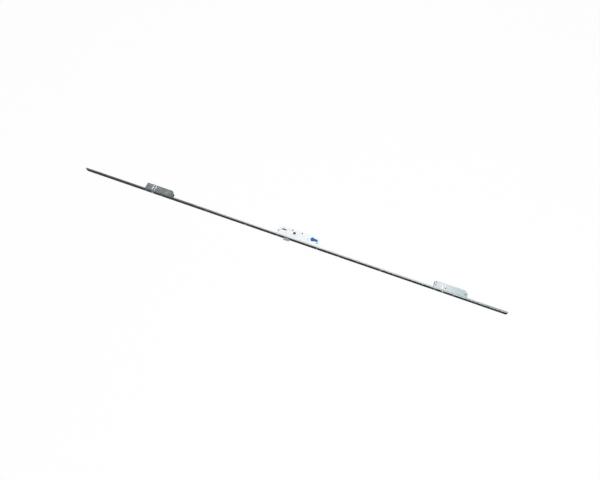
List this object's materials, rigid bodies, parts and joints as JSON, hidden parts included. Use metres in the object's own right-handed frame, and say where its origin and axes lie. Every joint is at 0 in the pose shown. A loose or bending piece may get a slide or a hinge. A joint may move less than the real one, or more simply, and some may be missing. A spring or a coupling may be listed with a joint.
{
  "type": "multipoint door lock",
  "caption": "Long mortice door lock: a U-shaped face rail with a main case for latch, bolt, spindle and profile cylinder, and outer cases with pin bolts moved by drive rods.",
  "frame": {"origin": "on the middle of the rail's front face, level with the spindle axis", "axes": "+X along the rail towards the lock's lower end, +Y back from the front face into the door leaf, +Z square to the side plates; the lock lies on its side, as in the picture"},
  "size_m": [2.15, 0.0625, 0.024],
  "materials": {
    "rail_steel": "satin zinc-plated steel strip, rolled into a U",
    "case_steel": "bright zinc-plated sheet steel, blue-white passivated",
    "rod_steel": "zinc-plated flat bar",
    "slide_steel": "stamped and zinc-plated sheet steel",
    "gear_steel": "sintered steel, oiled",
    "bolt_steel": "turned and nickel-plated steel",
    "rivet_steel": "zinc-plated rivets, pins and pillars",
    "spring_steel": "drawn spring wire, plain",
    "latch_zinc": null,
    "follower_zinc": null,
    "carriage_zinc": null,
    "plug_plastic": "blue moulded polyethylene"
  },
  "bodies": {
    "frame": {"face_rail": "rail_steel", "main_case_base": "case_steel", "main_case_cover": "case_steel", "upper_case_base": "case_steel", "upper_case_cover": "case_steel", "lower_case_base": "case_steel", "lower_case_cover": "case_steel", "gear_arbor": "rivet_steel", "latch_spring_stop": "slide_steel", "latch_spring": "spring_steel", "follower_spring": "spring_steel", "main_case_pillars": "rivet_steel", "upper_case_pillars": "rivet_steel", "lower_case_pillars": "rivet_steel", "case_rivets": "rivet_steel", "rod_rivets": "rivet_steel"},
    "drive": {"main_slide": "slide_steel", "upper_drive_rod": "rod_steel", "lower_drive_rod": "rod_steel", "upper_cam_plate": "slide_steel", "lower_cam_plate": "slide_steel"},
    "gear": {"locking_gear": "gear_steel"},
    "deadbolt": {"deadbolt": "bolt_steel", "deadbolt_pin": "rivet_steel"},
    "upper_bolt": {"upper_pin_bolt": "bolt_steel", "upper_bolt_carriage": "carriage_zinc", "upper_guide_pins": "rivet_steel"},
    "lower_bolt": {"lower_pin_bolt": "bolt_steel", "lower_bolt_carriage": "carriage_zinc", "lower_guide_pins": "rivet_steel"},
    "latch": {"latch_bolt": "latch_zinc", "latch_tail": "slide_steel"},
    "follower": {"follower": "follower_zinc"},
    "plug": {"cylinder_plug": "plug_plastic"}
  },
  "joints": [
    {"name": "drive_slide", "type": "slide", "parent": "frame", "child": "drive", "axis": [-1, 0, 0], "range_m": [0, 0.02]},
    {"name": "gear_turn", "type": "hinge", "parent": "frame", "child": "gear", "pos_m": [0.068, 0.029, 0], "axis": [0, 0, -1], "range_deg": [0, 114.6]},
    {"name": "deadbolt_slide", "type": "slide", "parent": "frame", "child": "deadbolt", "axis": [0, -1, 0], "range_m": [0, 0.02]},
    {"name": "upper_bolt_slide", "type": "slide", "parent": "frame", "child": "upper_bolt", "axis": [0, -1, 0], "range_m": [0, 0.02]},
    {"name": "lower_bolt_slide", "type": "slide", "parent": "frame", "child": "lower_bolt", "axis": [0, -1, 0], "range_m": [0, 0.02]},
    {"name": "follower_turn", "type": "hinge", "parent": "frame", "child": "follower", "pos_m": [0, 0.035, 0], "axis": [0, 0, -1], "range_deg": [0, 33], "deforming": ["follower_spring"]},
    {"name": "latch_slide", "type": "slide", "parent": "frame", "child": "latch", "axis": [0, 1, 0], "range_m": [0, 0.0105], "stiffness_N_per_m": 300, "springref_m": -0.012, "deforming": ["latch_spring"]},
    {"name": "plug_pull", "type": "slide", "parent": "frame", "child": "plug", "axis": [0, 0, 1], "range_m": [0, 0.018]}
  ],
  "couplings": [
    {"joint": "gear_turn", "follows": "drive_slide", "rad_per_m": 100},
    {"joint": "deadbolt_slide", "follows": "drive_slide", "ratio": 1},
    {"joint": "upper_bolt_slide", "follows": "drive_slide", "ratio": 1},
    {"joint": "lower_bolt_slide", "follows": "drive_slide", "ratio": 1},
    {"joint": "follower_turn", "follows": "latch_slide", "rad_per_m": 54.853}
  ]
}
